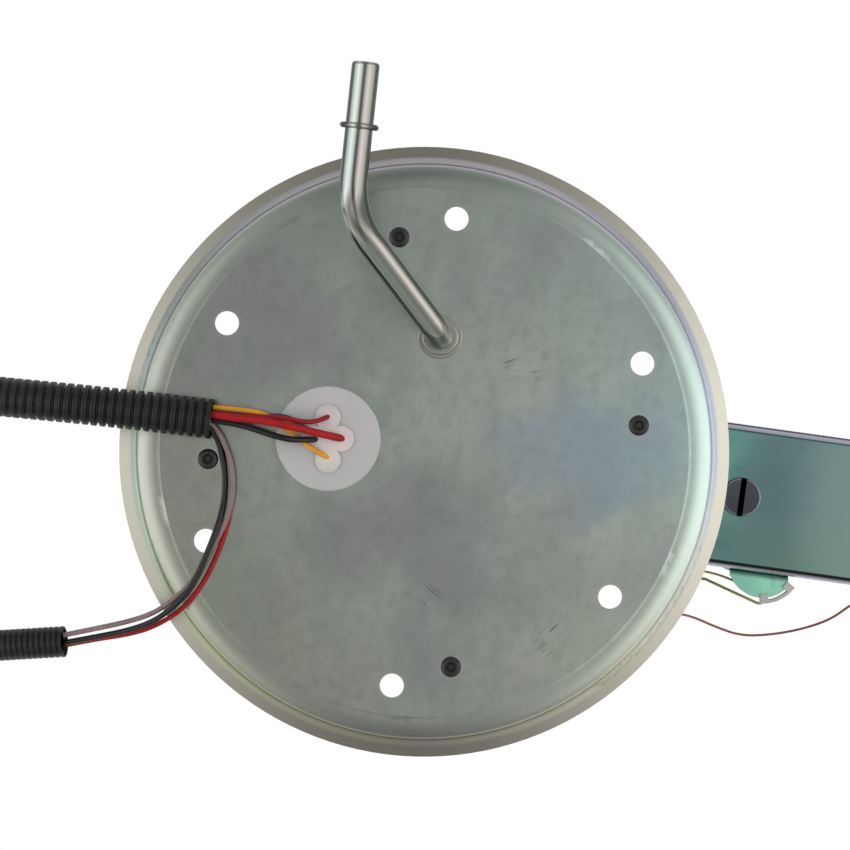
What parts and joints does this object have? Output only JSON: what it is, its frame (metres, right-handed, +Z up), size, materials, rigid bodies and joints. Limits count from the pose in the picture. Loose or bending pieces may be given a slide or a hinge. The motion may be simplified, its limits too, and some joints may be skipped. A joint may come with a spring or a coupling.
{
  "type": "fuel pump hanger",
  "caption": "Round pressed-steel tank flange with outlet tube, wire pass-through and conduits, and an L-shaped channel below that carries a pump, strainer and level sender.",
  "frame": {"origin": "centre of the flange's bolt circle, on the plate's flat underside where the gasket seals", "axes": "+Z up out of the tank along the bolt circle's axis, +X along the hanger's foot, +Y towards the outlet tube's end"},
  "size_m": [0.4557, 0.2408, 0.2359],
  "materials": {
    "zinc_plate": "zinc plated pressed steel, clear to iridescent",
    "zinc_hanger": "zinc plated folded steel with a blue-green passivation",
    "zinc_tube": "zinc plated steel tube",
    "spring_steel": "bright spring steel",
    "dark_steel": "dark phosphated steel",
    "yellow_wire_steel": "yellow passivated steel wire",
    "pump_can": "bright zinc plated can",
    "brass": "bright brass",
    "gasket_rubber": "black moulded rubber",
    "hose_rubber": "black fuel hose",
    "white_plastic": "white moulded plastic",
    "black_plastic": "black moulded plastic",
    "grey_plastic": "grey moulded plastic",
    "ceramic": "ceramic card with dark tracks",
    "float_foam": "dark closed-cell float",
    "sock_mesh": "woven nylon mesh",
    "conduit_black": "corrugated conduit",
    "wire_red": "red wire insulation",
    "wire_dark_red": "dark red wire insulation",
    "wire_yellow": "yellow wire insulation",
    "wire_black": "black wire insulation",
    "wire_blue": "dark blue wire insulation",
    "wire_grey": "grey wire insulation",
    "wire_brown": "red-brown wire insulation"
  },
  "bodies": {
    "hanger": {"flange_plate": "zinc_plate", "flange_gasket": "gasket_rubber", "outlet_tube": "zinc_tube", "tube_collar": "zinc_tube", "pass_through_plug": "white_plastic", "plug_seal": "gasket_rubber", "plug_terminals": "brass", "plug_retainer": "spring_steel", "hanger_bracket": "zinc_hanger", "pump_body": "pump_can", "pump_outlet_cap": "black_plastic", "pump_terminals": "brass", "pump_lead_clips": "white_plastic", "pump_inlet_cap": "black_plastic", "pump_isolator": "gasket_rubber", "pump_strap": "zinc_hanger", "clamp_screw": "dark_steel", "clamp_nut": "spring_steel", "strainer_frame": "black_plastic", "strainer_sock": "sock_mesh", "strainer_star": "spring_steel", "fuel_hose": "hose_rubber", "hose_bands": "spring_steel", "hose_screws": "spring_steel", "sender_bracket": "zinc_hanger", "sender_screws": "spring_steel", "sender_case": "grey_plastic", "resistor_card": "ceramic", "lead_clip": "spring_steel", "low_fuel_probe": "black_plastic", "probe_clip": "spring_steel", "probe_rivet": "spring_steel", "main_connector": "black_plastic", "sensor_connector": "black_plastic", "conduit_main": "conduit_black", "conduit_sensor": "conduit_black", "wire_red_heavy": "wire_red", "wire_red_light": "wire_dark_red", "wire_yellow": "wire_yellow", "wire_black": "wire_black", "wire_blue": "wire_blue", "sensor_lead_black": "wire_black", "sensor_lead_grey": "wire_grey", "sensor_lead_red": "wire_red", "lead_pump_red": "wire_red", "lead_pump_black": "wire_black", "lead_sender": "wire_yellow", "lead_low_fuel": "wire_brown"},
    "float_arm_unit": {"float_arm": "yellow_wire_steel", "arm_hub": "grey_plastic", "wiper": "brass", "float_stops": "spring_steel"},
    "float_body": {"sender_float": "float_foam"}
  },
  "joints": [
    {"name": "float_swing", "type": "hinge", "parent": "hanger", "child": "float_arm_unit", "pos_m": [0.154, -0.04, -0.15], "axis": [0, 1, 0], "range_deg": [-22, 38]},
    {"name": "float_spin", "type": "hinge", "parent": "float_arm_unit", "child": "float_body", "pos_m": [0.046, -0.065, -0.15], "axis": [0, 1, 0], "continuous": true}
  ]
}
